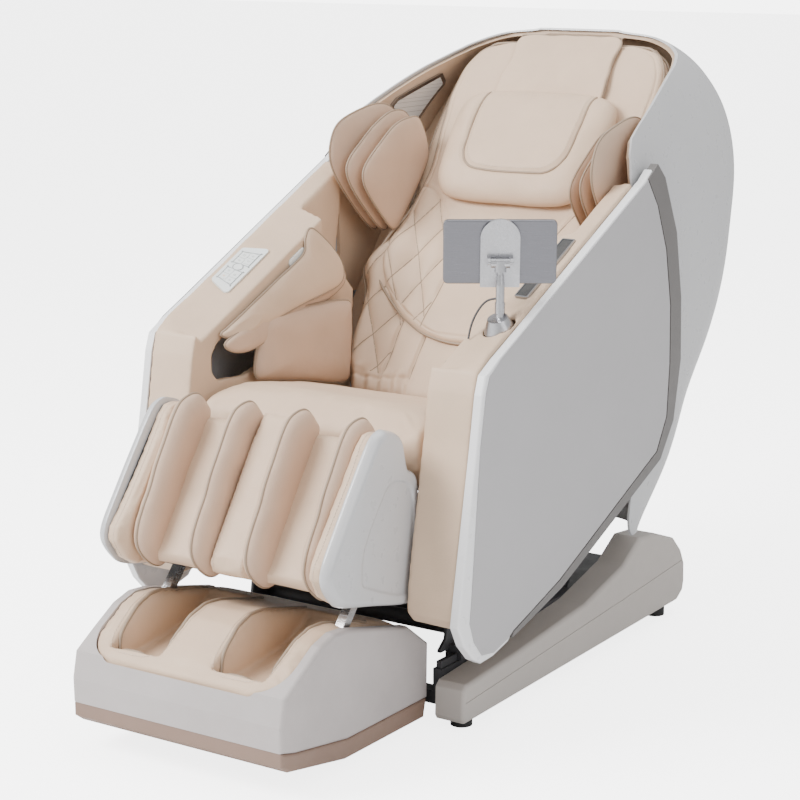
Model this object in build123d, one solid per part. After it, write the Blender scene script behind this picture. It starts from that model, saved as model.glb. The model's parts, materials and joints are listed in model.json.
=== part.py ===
"""Home massage chair: sliding seat module, reclining back, lifting leg rest, extending foot rest.

Millimetres. +Z is up, the chair faces -Y and +X is the occupant's left. The chair is drawn about its
plane of symmetry, x = 0, and written out with its origin on the floor under the middle of its box,
which is a little to the left because the tablet reaches past that side. Side outlines are lists of
(y, z) points, mirrored about the YZ plane where the two sides of the chair match.
"""
from build123d import *
from math import atan2, cos, degrees, hypot, radians, sin
import os

# ---------------------------------------------------------------- driving dimensions
PANEL_IN, PANEL_OUT = 370.0, 388.0      # |x| of a side panel's two faces
FACE_T = 2.0                            # satin skin on the side panel
ARM_IN, ARM_OUT = 268.0, 369.7          # |x| of an armrest's two faces
SHELL_T = 4.0                           # back shell wall
SEAT_HALF = 258.0                       # half width of the seat cushion
CALF_HALF = 262.0                       # half width over the calf caps
FOOT_HALF = 238.0                       # half width of the foot rest
RUNNER_IN, RUNNER_OUT = 262.0, 326.0    # |x| of a base runner's two sides

MIDDLE = (11.78, 9.0)                   # middle of the chair's box, tablet included (x, y)

BACK_FOOT = (50.0, 523.0)               # where the back's cushion meets the seat (y, z)
BACK_LEAN = 39.0                        # back angle from the vertical, degrees
RECLINE = (90.0, 480.0)                 # recline hinge (y, z)
KNEE = (-440.0, 510.0)                  # leg rest hinge (y, z)
HINGE_D = 14.0                          # hinge shafts
BORE = 0.1                              # diametral clearance of a bore on its shaft
SLIDE_GAP = 0.5                         # clearance of a slide on its rail
FOOT_SLIDE = (-0.654, -0.757)           # direction the foot rest extends (y, z)

KEY_MID = (-326.0, -174.0, 803.0)       # centre of the keypad's top
KEY_TILT, ARM_SLOPE = 16.0, 25.5        # keypad tilt inwards, armrest slope, degrees
KEY_GAP, KEY_TRAVEL = 0.5, 0.8          # clearance round a key, key travel

POST_FOOT = (335.0, -252.0, 764.0)      # tablet stand's foot on the left armrest
POST_TOP = 878.0                        # height of the swivel joint
TABLET_YAW, TABLET_TILT = 33.5, 8.0     # tablet's rest direction, degrees

# back shell: (z, half width, rear y, rear corner radius), bottom to top
SHELL = [(247, 354, 362, 110), (372, 360, 501, 140), (507, 364, 600, 165), (602, 366, 685, 175),
         (754, 366, 775, 180), (867, 365, 802, 180), (937, 364, 813, 180), (1000, 358, 817, 180),
         (1063, 345, 810, 175), (1110, 330, 794, 168), (1155, 309, 766, 158), (1188, 287, 738, 146),
         (1210, 264, 714, 132), (1228, 234, 692, 112), (1243, 190, 668, 88), (1252, 128, 646, 60)]
# rim of the hood, from the armrest notch up to the top centre
RIM = [(205, 990), (214, 1035), (232, 1063), (272, 1084), (326, 1108), (386, 1134), (437, 1155),
       (482, 1172), (531, 1188), (579, 1206), (611, 1223), (632, 1240), (646, 1275)]

# side panel: outline of the white rim, of the satin face and of the dark trim
PANEL = [(211, 984), (-259, 759), (-341, 721), (-384, 697), (-396, 664), (-413, 567), (-464, 303),
         (-473, 254), (-452, 214), (-419, 180), (-393, 166), (-352, 168), (-298, 181), (-284, 195),
         (-217, 214), (-105, 247), (292, 414), (342, 484), (362, 600), (358, 720), (330, 855),
         (278, 966), (240, 1004)]
FACE = [(219, 986), (-261, 757), (-336, 722), (-374, 696), (-386, 668), (-404, 571), (-430, 303),
        (-436, 254), (-421, 214), (-393, 182), (-352, 176), (-302, 188), (-284, 199), (-217, 220),
        (-110, 254), (285, 424), (326, 489), (334, 600), (330, 720), (305, 838), (262, 932)]
TRIM = [(219, 988), (264, 930), (307, 838), (332, 720), (336, 600), (328, 489), (287, 423),
        (-109, 252.5), (-217, 218), (-284, 197), (-290, 187), (-217, 205), (-101, 236), (303, 404),
        (358, 476), (384, 600), (378, 730), (350, 868), (292, 984), (258, 1014)]
# armrest, from the notch forward, down the front and back along the bottom
ARM = [(196, 985), (-259, 767), (-345, 728), (-384, 702), (-396, 664), (-412, 565), (-460, 303),
       (-463, 262), (-440, 238), (-300, 236), (-120, 280), (100, 370), (140, 480), (150, 700),
       (186, 880)]
# leg rest cap and the cushion between the caps
CAP = [(-500, 605), (-462, 590), (-438, 521), (-408, 507), (-402, 456), (-410, 278), (-440, 268),
       (-640, 312), (-668, 330), (-694, 372), (-690, 395), (-545, 585), (-525, 602)]

# front line of the calf channels, then the airbag fins and the divider standing on it
CHANNEL = [(-446, 546), (-453, 570), (-466, 574), (-628, 334), (-622, 319), (-584, 314), (-470, 500)]
FIN = [(-450, 560), (-458, 598), (-470, 614), (-488, 610), (-648, 362), (-652, 332), (-634, 316),
       (-610, 330), (-480, 520)]
DIVIDER = [(-450, 560), (-460, 592), (-474, 600), (-640, 350), (-638, 326), (-622, 319), (-480, 520)]
# foot rest: shell outline, then the band under it
FOOT = [(-339, 54), (-600, 56), (-757, 81), (-798, 92), (-799, 138), (-788, 188), (-739, 219),
        (-683, 252), (-640, 264), (-600, 261), (-405, 213), (-337, 163)]
BAND = [(-341, 54), (-600, 56), (-757, 81), (-797, 92), (-797, 66), (-778, 52), (-607, 20), (-350, 18)]
FOOT_LIP = 128.0                        # height of the shell's front and rear lip
FOOT_BORDER, FOOT_ROUND = 20.0, 62.0    # shell's border beside the foot cushion, cushion's front corners
WELL = [(-768, 190), (-742, 172), (-690, 164), (-540, 186), (-470, 222), (-470, 330), (-768, 330)]

os.makedirs("parts", exist_ok=True)


# ---------------------------------------------------------------- helpers
def outline(points, grow=0.0, r=0.0):
    """Closed face in the side view (y, z), optionally grown or shrunk and with rounded corners."""
    face = Plane.YZ * make_face(Polyline(*points, close=True))
    if grow:
        face = Plane.YZ * offset(make_face(Polyline(*points, close=True)), grow,
                                 kind=Kind.INTERSECTION)
    if r:
        face = fillet(face.vertices(), r)
    return face


def slab(points, x0, x1, grow=0.0, r=0.0):
    """Side outline carried from x0 to x1."""
    return Pos(x0, 0, 0) * extrude(outline(points, grow, r), x1 - x0, dir=(1, 0, 0))


def block(x0, x1, y0, y1, z0, z1, r=0.0):
    solid = Pos((x0 + x1) / 2, (y0 + y1) / 2, (z0 + z1) / 2) * Box(x1 - x0, y1 - y0, z1 - z0)
    return fillet(solid.edges(), r) if r else solid


def rod(x0, x1, y, z, d):
    """Cylinder along X."""
    return Pos((x0 + x1) / 2, y, z) * Rot(0, 90, 0) * Cylinder(d / 2, abs(x1 - x0))


def other(shape):
    """The same piece on the other side of the chair."""
    return mirror(shape, Plane.YZ)


def edges_at(shape, x):
    """Edges lying wholly in the plane at x."""
    return shape.edges().filter_by_position(Axis.X, x - 0.01, x + 0.01)


def soften(shape, edges, *radii):
    """Largest of the radii that the edges take."""
    for r in radii:
        try:
            done = fillet(edges, r)
            if done.is_valid:
                return done
        except Exception:
            continue
    return shape


def on_back(along, out):
    """Point (y, z) at a distance up the back's surface and a distance in front of it."""
    a = radians(BACK_LEAN)
    return (BACK_FOOT[0] + along * sin(a) - out * cos(a), BACK_FOOT[1] + along * cos(a) + out * sin(a))


def back_box(x0, x1, along0, along1, out0, out1, r=0.0):
    """Block aligned with the leaning back."""
    y, z = on_back((along0 + along1) / 2, (out0 + out1) / 2)
    solid = Pos((x0 + x1) / 2, y, z) * Rot(-BACK_LEAN, 0, 0) * Box(
        x1 - x0, out1 - out0, along1 - along0)
    return fillet(solid.edges(), r) if r else solid


def back_rod(x0, x1, along, out, d):
    y, z = on_back(along, out)
    return rod(x0, x1, y, z, d)


nodes = {}


def put(name, *shapes):
    """Keep a piece under its node name."""
    solids = [s for shape in shapes for s in shape.solids()]
    nodes[name] = solids[0] if len(solids) == 1 else Compound(children=solids)


# ---------------------------------------------------------------- base
RUNNER = [(-345, 20), (535, 28), (562, 44), (568, 66), (566, 108), (548, 142), (512, 176), (424, 207),
          (352, 214), (280, 172), (120, 132), (-150, 108), (-338, 96), (-350, 86), (-352, 30)]
SEAM = [(-356, 62), (347, 103), (572, 118)]


def runner():
    body = slab(RUNNER, RUNNER_IN, RUNNER_OUT, r=5)
    body = soften(body, edges_at(body, RUNNER_OUT), 9, 6, 3)
    body -= slab(RUNNER, RUNNER_IN + 4, RUNNER_OUT - 4, grow=-4)
    body -= block(RUNNER_IN + 4, RUNNER_OUT - 4, -340, 535, 10, 50)
    seam = [(y, z + 1.3) for y, z in SEAM] + [(y, z - 1.3) for y, z in reversed(SEAM)]
    body -= slab(seam, RUNNER_OUT - 1.2, RUNNER_OUT + 1)
    for y in (-300, 500):                       # notches for the frame's cross tubes
        body -= block(RUNNER_IN - 1, RUNNER_IN + 5, y - 15, y + 15, 34, 60)
    return body


runner_l = runner()
put("base_runner_left", runner_l)
put("base_runner_right", other(runner_l))

frame = block(-300, 300, -315, -285, 34, 60) + block(-300, 300, 485, 515, 34, 60)
frame -= block(-297, 297, -312, -288, 37, 57) + block(-297, 297, 488, 512, 37, 57)
for side in (-1, 1):
    tube = block(238, 258, -322, 522, 60, 108) - block(241, 255, -319, 519, 63, 105)
    rail = block(243, 253, -318, 420, 108, 122)
    for piece in (tube, rail):
        frame += piece if side > 0 else other(piece)
put("base_frame", frame)

cover = block(-222, 222, 60, 484, 64, 118)
cover = fillet(cover.edges().filter_by(Axis.Z), 24)
cover -= block(-219, 219, 63, 481, 60, 115)
put("base_cover", cover)

foot = Pos(0, 0, 9) * Cylinder(21, 18) + Pos(0, 0, 26) * Cylinder(9, 16)
put("base_feet", *[Pos(x, y, 0) * foot for x in (-288, 288) for y in (-300, 500)])

# ---------------------------------------------------------------- seat frame
SIDE_PLATE = [(-300, 127), (200, 127), (215, 150), (150, 330), (118, 462), (112, 496), (90, 506),
              (68, 496), (44, 446), (-330, 446), (-345, 420), (-330, 380), (-240, 360), (-270, 150)]


def seat_side():
    plate = slab(SIDE_PLATE, 228, 234, r=4)
    plate -= slab([(-220, 175), (150, 175), (70, 400), (-190, 400)], 220, 240, r=12)
    shoe = block(226, 262, -260, 180, 90, 136)
    shoe -= block(237, 263, -300, 200, 80, 109.5)
    shoe -= block(243 - SLIDE_GAP, 253 + SLIDE_GAP, -300, 200, 80, 122 + SLIDE_GAP)
    pin = rod(212, 234, RECLINE[0], RECLINE[1], HINGE_D)
    return plate + shoe + pin


seat_frame = seat_side()
seat_frame = seat_frame + other(seat_frame)
for y, z in ((-310, 420), (0, 425), (-200, 150)):
    tube = rod(-230, 230, y, z, 32)
    seat_frame += tube - rod(-227, 227, y, z, 26)
knee_plate = [(-340, 404), (-300, 404), (-300, 436), (-345, 438), (-392, 452), (-410, 490), (-424, 516),
              (-440, 527), (-452, 522), (-457, 510), (-455, 496), (-440, 470), (-420, 440), (-380, 412)]
for side in (-1, 1):
    plate = slab(knee_plate, 100, 108) - rod(90, 118, *KNEE, HINGE_D + BORE)
    seat_frame += plate if side > 0 else other(plate)
for y, z in ((-250, 500), (-60, 446)):           # cross members that carry the armrests
    bar = block(234, ARM_OUT + 4, y - 14, y + 14, 300, 328)
    bar -= block(238, ARM_OUT + 0, y - 11, y + 11, 303, 325)
    seat_frame += bar + other(bar)
seat_frame += slab([(-300, 380), (-200, 380), (-200, 300), (-260, 300)], 228, 234)
seat_frame += other(slab([(-300, 380), (-200, 380), (-200, 300), (-260, 300)], 228, 234))
put("seat_frame", seat_frame)

pan = slab([(-385, 462), (-300, 447.5), (40, 447.5), (40, 458), (-298, 458), (-381, 473)], -215, 215)
put("seat_pan", pan)

SEAT = [(38, 459), (-296, 459), (-378, 474), (-392, 500), (-404, 540), (-404, 560), (-392, 578),
        (-368, 588), (-300, 590), (-150, 566), (-10, 531), (38, 520)]
cushion = slab(SEAT, -SEAT_HALF, SEAT_HALF, r=4)
cushion = soften(cushion, edges_at(cushion, SEAT_HALF) + edges_at(cushion, -SEAT_HALF), 14, 9, 5)
put("seat_cushion", cushion)

# ---------------------------------------------------------------- sides
ARM_BAR = [block(230, 400, y - 14, y + 14, 300, 328) for y in (-250, -60)]


def side_panel():
    body = slab(PANEL, PANEL_IN, PANEL_OUT)
    body -= slab(PANEL, PANEL_IN - 1, PANEL_OUT - 4, grow=-4)
    return soften(body, edges_at(body, PANEL_OUT), 5, 3, 2)


def panel_face():
    body = slab(FACE, PANEL_OUT, PANEL_OUT + FACE_T)
    return soften(body, edges_at(body, PANEL_OUT + FACE_T), 1.5, 1)


def panel_trim():
    body = slab(TRIM, PANEL_OUT, PANEL_OUT + 2.6)
    wall = slab(TRIM, PANEL_OUT - 14, PANEL_OUT) - slab(PANEL, PANEL_OUT - 15, PANEL_OUT + 1)
    body += wall - slab(TRIM, PANEL_OUT - 20, PANEL_OUT + 5, grow=-3) if wall.volume > 1 else wall
    return body


# wedge that leans the armrest's top inwards, swept along the slope
wedge_plane = Plane(origin=(356, 250, 1011), x_dir=(1, 0, 0),
                    z_dir=(0, -cos(radians(ARM_SLOPE)), -sin(radians(ARM_SLOPE))))
wedge_drop = 160 * sin(radians(KEY_TILT)) / cos(radians(KEY_TILT))
slope_wedge = wedge_plane * extrude(make_face(Polyline((0, 0), (-160, -wedge_drop), (-160, 60), (0, 60),
                                                       close=True)), 700)


SHOULDER_ROOM = [(66, 1100), (40, 900), (44, 840), (70, 800), (150, 720), (260, 700), (260, 1100)]


def armrest():
    body = slab(ARM, ARM_IN, ARM_OUT, r=6)
    body -= slope_wedge
    body = soften(body, edges_at(body, ARM_IN), 22, 16, 12, 8)
    body -= slab(SHOULDER_ROOM, ARM_IN - 1, 324)
    hollow = slab(ARM, ARM_IN + 16, ARM_OUT + 1, grow=-14) - Pos(0, 0, -14) * slope_wedge
    body -= hollow - slab(SHOULDER_ROOM, ARM_IN - 1, 334, grow=10)
    window = [(-318, 602), (-334, 622), (-334, 652), (-318, 674), (0, 816), (28, 812), (46, 770),
              (48, 735), (30, 690), (-60, 640), (-230, 598)]
    body -= slab(window, ARM_IN - 2, ARM_IN + 20, r=12)
    return body


PAD = [(-306, 668), (-296, 656), (-262, 652), (-120, 676), (60, 706), (126, 724), (142, 744),
       (132, 772), (84, 826), (58, 826), (-20, 796), (-220, 712)]
HIP = [(-236, 588), (-224, 596), (-150, 580), (78, 528), (92, 540), (100, 640), (96, 728), (84, 736),
       (-120, 716), (-226, 692), (-240, 676)]


def arm_pad():
    body = slab(PAD, 236, ARM_IN, r=5)
    return soften(body, edges_at(body, 236), 12, 8, 5)


def hip_pad():
    lift = [(y, z + 10) for y, z in HIP]
    body = slab(lift, 222, ARM_IN, r=5)
    body = soften(body, edges_at(body, 222), 14, 9, 5)
    return body - slab(PAD, 230, 270, grow=1.0) - slab(SEAT, 200, 270, grow=0.5)


for name, make in (("side_panel", side_panel), ("arm_pad", arm_pad), ("hip_pad", hip_pad)):
    piece = make()
    put(name + "_left", piece)
    put(name + "_right", other(piece))
for name, make in (("panel_faces", panel_face), ("panel_trims", panel_trim)):
    piece = make()
    put(name, piece, other(piece))

arm_l = armrest()
for bar in ARM_BAR:
    arm_l -= bar
arm_r = other(arm_l)

# ---------------------------------------------------------------- keypad on the right armrest
slope, tilt = radians(ARM_SLOPE), radians(KEY_TILT)
key_plane = Plane(origin=KEY_MID, x_dir=(0, -cos(slope), -sin(slope)),
                  z_dir=(sin(tilt), -sin(slope) * cos(tilt), cos(slope) * cos(tilt)))
# local x runs forward and down the armrest, local y towards the outside
BEZEL = [(-82, 26), (82, 26), (58, -26), (-58, -26)]
bezel_face = fillet(make_face(Polyline(*BEZEL, close=True)).vertices(), 7)
bezel = extrude(bezel_face, -9)
bezel_tool = key_plane * bezel
KEY = [(-8.6, 8.2), (8.6, 8.2), (8.6, -8.2), (-8.6, -8.2)]
keys, pockets = [], []
for group in (-1, 1):
    for row in (0, 1):
        for col in (0, 1):
            cx = group * (21 + 18.4 * row) + (4 if col else -2) * group
            cy = 8.7 if col else -8.7
            for grow, height, into in ((0, 4.2, keys), (KEY_GAP, 9, pockets)):
                shape = fillet(make_face(Polyline(*KEY, close=True)).vertices(), 2)
                shape = offset(shape, grow) if grow else shape
                into.append(Pos(cx, cy, -5 if grow else -3.6) * extrude(shape, height))
ring_key = Pos(0, 0, -3.6 + 2.2) * Cylinder(9.5, 4.4)
pockets.append(Pos(0, 0, -0.5) * Cylinder(9.5 + KEY_GAP, 9))
for pocket in pockets:
    bezel -= pocket
put("keypad_bezel", key_plane * bezel)
for i, key in enumerate(keys):
    put("key_%d" % (i + 1), key_plane * key)
put("key_round", key_plane * ring_key)
arm_r -= bezel_tool

# small pill-shaped sensor pad on the inner wall of the right armrest
pill = Plane(origin=(-ARM_IN - 2, -52, 812), x_dir=(0, cos(slope), sin(slope)), z_dir=(1, 0, 0))
sensor = pill * extrude(SlotOverall(60, 18), 5)
sensor = soften(sensor, edges_at(sensor, -ARM_IN + 3), 1.5, 1)
arm_r -= pill * extrude(SlotOverall(60, 18), 5)
put("sensor_pad", sensor)

# ---------------------------------------------------------------- phone tray on the left armrest
tray_plane = Plane(origin=(331, -82, 848), x_dir=(0, -cos(slope), -sin(slope)),
                   z_dir=(-sin(tilt), -sin(slope) * cos(tilt), cos(slope) * cos(tilt)))
TRAY = [(-108, -20), (92, -20), (108, 20), (-92, 20)]
tray_face = fillet(make_face(Polyline(*TRAY, close=True)).vertices(), 3)
tray = extrude(tray_face, -9)
arm_l -= tray_plane * tray
well = extrude(offset(tray_face, -3.2), -2.5)
mat = extrude(offset(tray_face, -3.2), -2.5) - extrude(offset(tray_face, -3.2), -1.2)
put("tray_frame", tray_plane * (tray - well))
put("tray_mat", tray_plane * mat)

# ---------------------------------------------------------------- tablet stand on the left armrest
px, py, pz = POST_FOOT
cone = Pos(px, py, pz - 6) * Rot(ARM_SLOPE * 0.9, 0, 0) * Pos(0, 0, 9) * Cone(30, 19, 26)
post = Pos(px, py, (pz + 10 + POST_TOP - 40) / 2) * Cylinder(8, POST_TOP - 40 - pz - 10)
post += Pos(px, py, POST_TOP - 40) * Pos(0, 0, 9) * Cone(8, 6.5, 18)
post += Pos(px, py, POST_TOP - 14) * Cylinder(5, 16)
collar = Pos(px, py, pz + 32) * Cylinder(9.4, 20)
stand = cone + post + collar
put("tablet_post", stand)
arm_l -= Pos(px, py, pz - 6) * Rot(ARM_SLOPE * 0.9, 0, 0) * Pos(0, 0, 3) * Cylinder(31, 38)
armrest_left_solid = arm_l
put("armrest_left", arm_l)
put("armrest_right", arm_r)

yaw = radians(TABLET_YAW)
face = Plane(origin=(px, py, POST_TOP), x_dir=(cos(yaw), sin(yaw), 0), z_dir=(0, 0, 1))
# local x along the tablet's width, local y away from the viewer towards the occupant
knuckle = Pos(0, 0, -6) * Cylinder(11, 20)
knuckle += Rot(0, 90, 0) * Cylinder(9, 34)
knuckle -= Pos(0, 0, -11) * Cylinder(5 + BORE / 2, 11)
knuckle -= Rot(0, 90, 0) * Cylinder(4 + BORE / 2, 40)
put("tablet_knuckle", face * knuckle)
tiltback = Rot(TABLET_TILT, 0, 0)
arch = Pos(0, 16, 42) * Rot(90, 0, 0) * Cylinder(36, 6)
plate = Pos(0, 16, -4) * Box(72, 6, 92) + arch
for x in (-20.5, 20.5):
    plate += Pos(x, 5.5, 0) * Box(6, 17, 18)
plate += Rot(0, 90, 0) * Cylinder(4, 47)
lips = Pos(0, 24, -48) * Box(60, 22, 4)
put("tablet_cradle", face * tiltback * (plate + lips))
slate = Pos(0, 25, 14) * Box(207, 9, 120)
slate = fillet(slate.edges().filter_by(Axis.Y), 9)
slate = soften(slate, slate.faces().sort_by(Axis.Y)[0].edges(), 2.5, 1.5)
glass = Pos(0, 30.2, 14) * Box(199, 1.4, 112)
put("tablet", face * tiltback * (slate - glass))
put("tablet_screen", face * tiltback * glass)

# ---------------------------------------------------------------- tablet cable
CABLE_D = 4.0
CABLE = [(px - 8, py, 812), (px - 21, py - 1, 810), (px - 32, py - 5, 802), (px - 40, py - 12, 788),
         (px - 45, py - 20, 772), (px - 47.5, py - 27, 754), (px - 48, py - 31, 738)]
corners = [Vector(*p) for p in CABLE]
radii = []
for a, b, c in zip(corners, corners[1:], corners[2:]):
    turn = radians((b - a).get_angle(c - b))
    radii.append(0.45 * min((b - a).length, (c - b).length) / (sin(turn / 2) / cos(turn / 2)))
print("cable radii", [round(r, 1) for r in radii])
route = FilletPolyline(*corners, radius=radii)
cable = sweep(Plane(route @ 0, z_dir=route % 0) * Circle(CABLE_D / 2), path=route)
cable -= armrest_left_solid + nodes["tablet_post"]
put("tablet_cable", max(cable.solids(), key=lambda s: s.volume))
print("cable length", round(route.length, 1), "volume", round(cable.volume, 1), "section x length",
      round(3.14159 * (CABLE_D / 2) ** 2 * route.length, 1))

# ---------------------------------------------------------------- back
def stations(inset):
    """The shell's stations, moved inwards by a distance."""
    out = []
    for i, (z, w, y, r) in enumerate(SHELL):
        a, b = SHELL[max(i - 1, 0)], SHELL[min(i + 1, len(SHELL) - 1)]
        dy, dz = b[2] - a[2], b[0] - a[0]
        n = hypot(dy, dz)
        down = inset * max(-dy, 0) / n
        out.append((z - down, w - inset, y - inset * dz / n - (0.2 * inset if dy > 0 else 0),
                    max(r - inset, 20)))
    if inset:
        z, w, y, r = out[0]
        out[0] = (z - 2, w, y - 2, r)
    return out


def capsule(inset):
    """Solid inside the back shell's surface, its front face a flat well behind the rim."""
    sections = []
    for z, w, y, r in stations(inset):
        front = 60
        with BuildSketch(Plane.XY.offset(z)) as section:
            with BuildLine():
                Polyline((w, y - r), (w, front), (-w, front), (-w, y - r))
                ThreePointArc((-w, y - r), (-w + r * (1 - cos(radians(45))), y - r * (1 - sin(radians(45)))),
                              (-w + r, y))
                Line((-w + r, y), (w - r, y))
                ThreePointArc((w - r, y), (w - r * (1 - cos(radians(45))), y - r * (1 - sin(radians(45)))),
                              (w, y - r))
            make_face()
        sections.append(section.sketch.face())
    return loft(sections)


EDGE = [(262, 200), (252, 300), (236, 420), (222, 500), (214, 700), (205, 990)]


def in_front(shift):
    """Side outline of everything in front of the shell's free edge, the edge moved back by shift."""
    edge = [(y + shift, z) for y, z in EDGE]
    rim = [(y + shift * 0.5, z - shift * 0.85) for y, z in RIM]
    return [(-100, 200)] + edge + rim[1:] + [(646 + shift, 1400), (-100, 1400)]


hood = capsule(0)
room = capsule(SHELL_T)
shell = hood - room - slab(in_front(0), -400, 400)
put("back_shell", max(shell.solids(), key=lambda s: s.volume))

inner = capsule(SHELL_T + 1.0) - capsule(SHELL_T + 9)
lining = inner - slab(in_front(9), -400, 400)
keep = slab([(225, 690), (330, 690), (420, 800), (640, 1010), (800, 1150), (800, 1300), (200, 1300)],
            -400, 400)
lining = lining & keep
put("back_lining", max(lining.solids(), key=lambda s: s.volume))

# frame of the back: two uprights, cross tubes, hinge lugs and the carriage's rails
uprights = back_box(150, 170, -60, 800, -120, -90)
uprights -= back_box(153, 167, -57, 797, -117, -93)
back_frame = uprights + other(uprights)
for along in (-40, 785):
    back_frame += back_rod(-151, 151, along, -105, 26) - back_rod(-148, 148, along, -105, 20)
for along in (200, 640):                       # stays out to the shell
    y, z = on_back(along, -105)
    stay = block(169, 330, y - 10, y + 10, z - 10, z + 10)
    back_frame += stay + other(stay)
y0, z0 = on_back(-40, -105)
lug = slab([(90, 498), (76, 492), (72, 478), (y0 - 26, z0 - 4), (y0 - 10, z0 - 24), (y0 + 16, z0 - 20),
            (y0 + 30, z0 + 10), (107, 488)], 216, 222)
lug -= rod(200, 250, *RECLINE, HINGE_D + BORE)
reach = back_rod(168, 220, -40, -105, 26)
lug = lug + reach
back_frame += lug + other(lug)
for side in (-1, 1):
    track = back_box(120, 128, 60, 740, -104, -96) + back_box(120, 151, 60, 100, -108, -104) \
        + back_box(120, 151, 700, 740, -108, -104)
    back_frame += track if side > 0 else other(track)
put("back_frame", back_frame)

back_cushion = back_box(-196, 196, 8, 860, -62, 0)
wing = slab([on_back(160, 26), on_back(120, -60), on_back(820, -60), on_back(800, -20), on_back(600, 20),
             on_back(500, 66)], 198, 262, r=8)
wing = soften(wing, edges_at(wing, 198), 10, 6)
back_cushion = soften(back_cushion, back_cushion.edges(), 18, 12)
back_cushion -= rod(-400, 400, *RECLINE, 60)
put("back_cushion", back_cushion)
wing -= rod(-400, 400, *RECLINE, 60)
put("back_wings", wing, other(wing))

pillow = back_box(-190, 190, 466, 738, 2, 66)
pillow = soften(pillow, pillow.edges(), 28, 18)
pillow += back_box(-136, 136, 700, 866, 2, 16, r=5)      # flap that hangs the pillow from the top
put("head_pillow", pillow)


def shoulder_leaves():
    """Three leaves of airbag, fanned from the inner one outwards, on one backing block."""
    leaves = (((372, 68), (396, 184), (424, 198), (606, 116), (622, 92), (598, 70)),
              ((372, 26), (386, 216), (416, 233), (602, 152), (620, 128), (598, 26)),
              ((372, 10), (378, 240), (408, 258), (598, 178), (618, 150), (600, 10)))
    body = slab([on_back(a, o) for a, o in ((400, 18), (400, 60), (560, 60), (560, 18))], 264, 318)
    for i, leaf in enumerate(leaves):
        x = (240, 268, 296)[i]
        pad = slab([on_back(a, o) for a, o in leaf], x, x + 22, r=9)
        body += soften(pad, edges_at(pad, x) + edges_at(pad, x + 22), 8, 5)
    bridge = slab([on_back(a, o) for a, o in ((420, 72), (420, 100), (560, 100), (560, 72))], 250, 300)
    return body + bridge


for name, piece in (("shoulder_pad", shoulder_leaves()),):
    put(name + "_left", piece)
    put(name + "_right", other(piece))

# board behind the cushions, with a slot for the massage heads, reaching out to the shell
board = back_box(-362, 362, 60, 850, -84, -76) & capsule(SHELL_T + 10)
board -= back_box(-117, 117, 62, 744, -90, -70)
board -= rod(-400, 400, *RECLINE, 60)
put("back_board", board)

# speakers set in the hood's lining
SPEAKER = [(362, 1080), (384, 1105), (528, 1152), (566, 1128), (488, 1034)]
plate = (capsule(SHELL_T + 9.3) - capsule(SHELL_T + 15)) & slab(SPEAKER, 250, 362, r=8)
cut = slab(SPEAKER, 240, 370, grow=-9, r=4)
grille = plate & cut
ring = plate - cut
put("speaker_frames", ring, other(ring))
put("speaker_grilles", grille, other(grille))

# massage carriage on the back's tracks, and its turning kneading heads
MID = 360.0
carriage = back_box(-108, 108, MID - 60, MID + 6, -152, -106)
carriage -= back_box(-105, 105, MID - 57, MID + 3, -149, -103)
for side in (-1, 1):
    arm = back_box(100, 106, MID - 40, MID + 50, -112, -80)
    arm -= back_rod(90, 118, MID + 36, -92, 12 + BORE)
    shoe = back_box(106, 134, MID - 55, MID + 20, -114, -90)
    shoe -= back_box(120 - SLIDE_GAP, 128 + SLIDE_GAP, MID - 60, MID + 30, -104 - SLIDE_GAP, -96 + SLIDE_GAP)
    shoe -= back_box(128, 140, MID - 60, MID + 30, -110, -96 + SLIDE_GAP)
    piece = arm + shoe
    carriage += piece if side > 0 else other(piece)
put("massage_carriage", carriage)
heads = back_rod(-110, 110, MID + 36, -92, 12)
for x in (-84, -34, 34, 84):
    y, z = on_back(MID + 36, -89 if abs(x) > 50 else -95)
    disc = rod(x - 7, x + 7, y, z, 42)
    heads += soften(disc, disc.edges(), 4, 2)
put("kneading_heads", heads)

# ---------------------------------------------------------------- leg rest
def calf_cap():
    body = slab(CAP, 240, CALF_HALF)
    body = soften(body, edges_at(body, CALF_HALF), 9, 6, 4)
    body -= slab(CAP, 239, CALF_HALF - 4, grow=-4)
    for y, z in ((-500, 540), (-450, 330), (-620, 370)):
        body += rod(240, CALF_HALF - 3, y, z, 14)
    return body


def along_slide(dist):
    y, z = FOOT_RAIL
    return (y - FOOT_SLIDE[0] * dist, z - FOOT_SLIDE[1] * dist)


def slide_box(x0, x1, d0, d1, half):
    """Block along the foot rest's rail, from d0 to d1."""
    y, z = along_slide((d0 + d1) / 2)
    tilt = degrees(atan2(-FOOT_SLIDE[0], -FOOT_SLIDE[1]))
    return Pos((x0 + x1) / 2, y, z) * Rot(-tilt, 0, 0) * Box(x1 - x0, 2 * half, d1 - d0)


FOOT_RAIL = (-628, 178)                 # lower end of the foot rest's rails (y, z)
RAIL_LONG = 296.0
front = [(-414, 650), (-444, 548), (-470, 500), (-586, 314), (-586, 230), (-800, 230), (-800, 650)]

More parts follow.
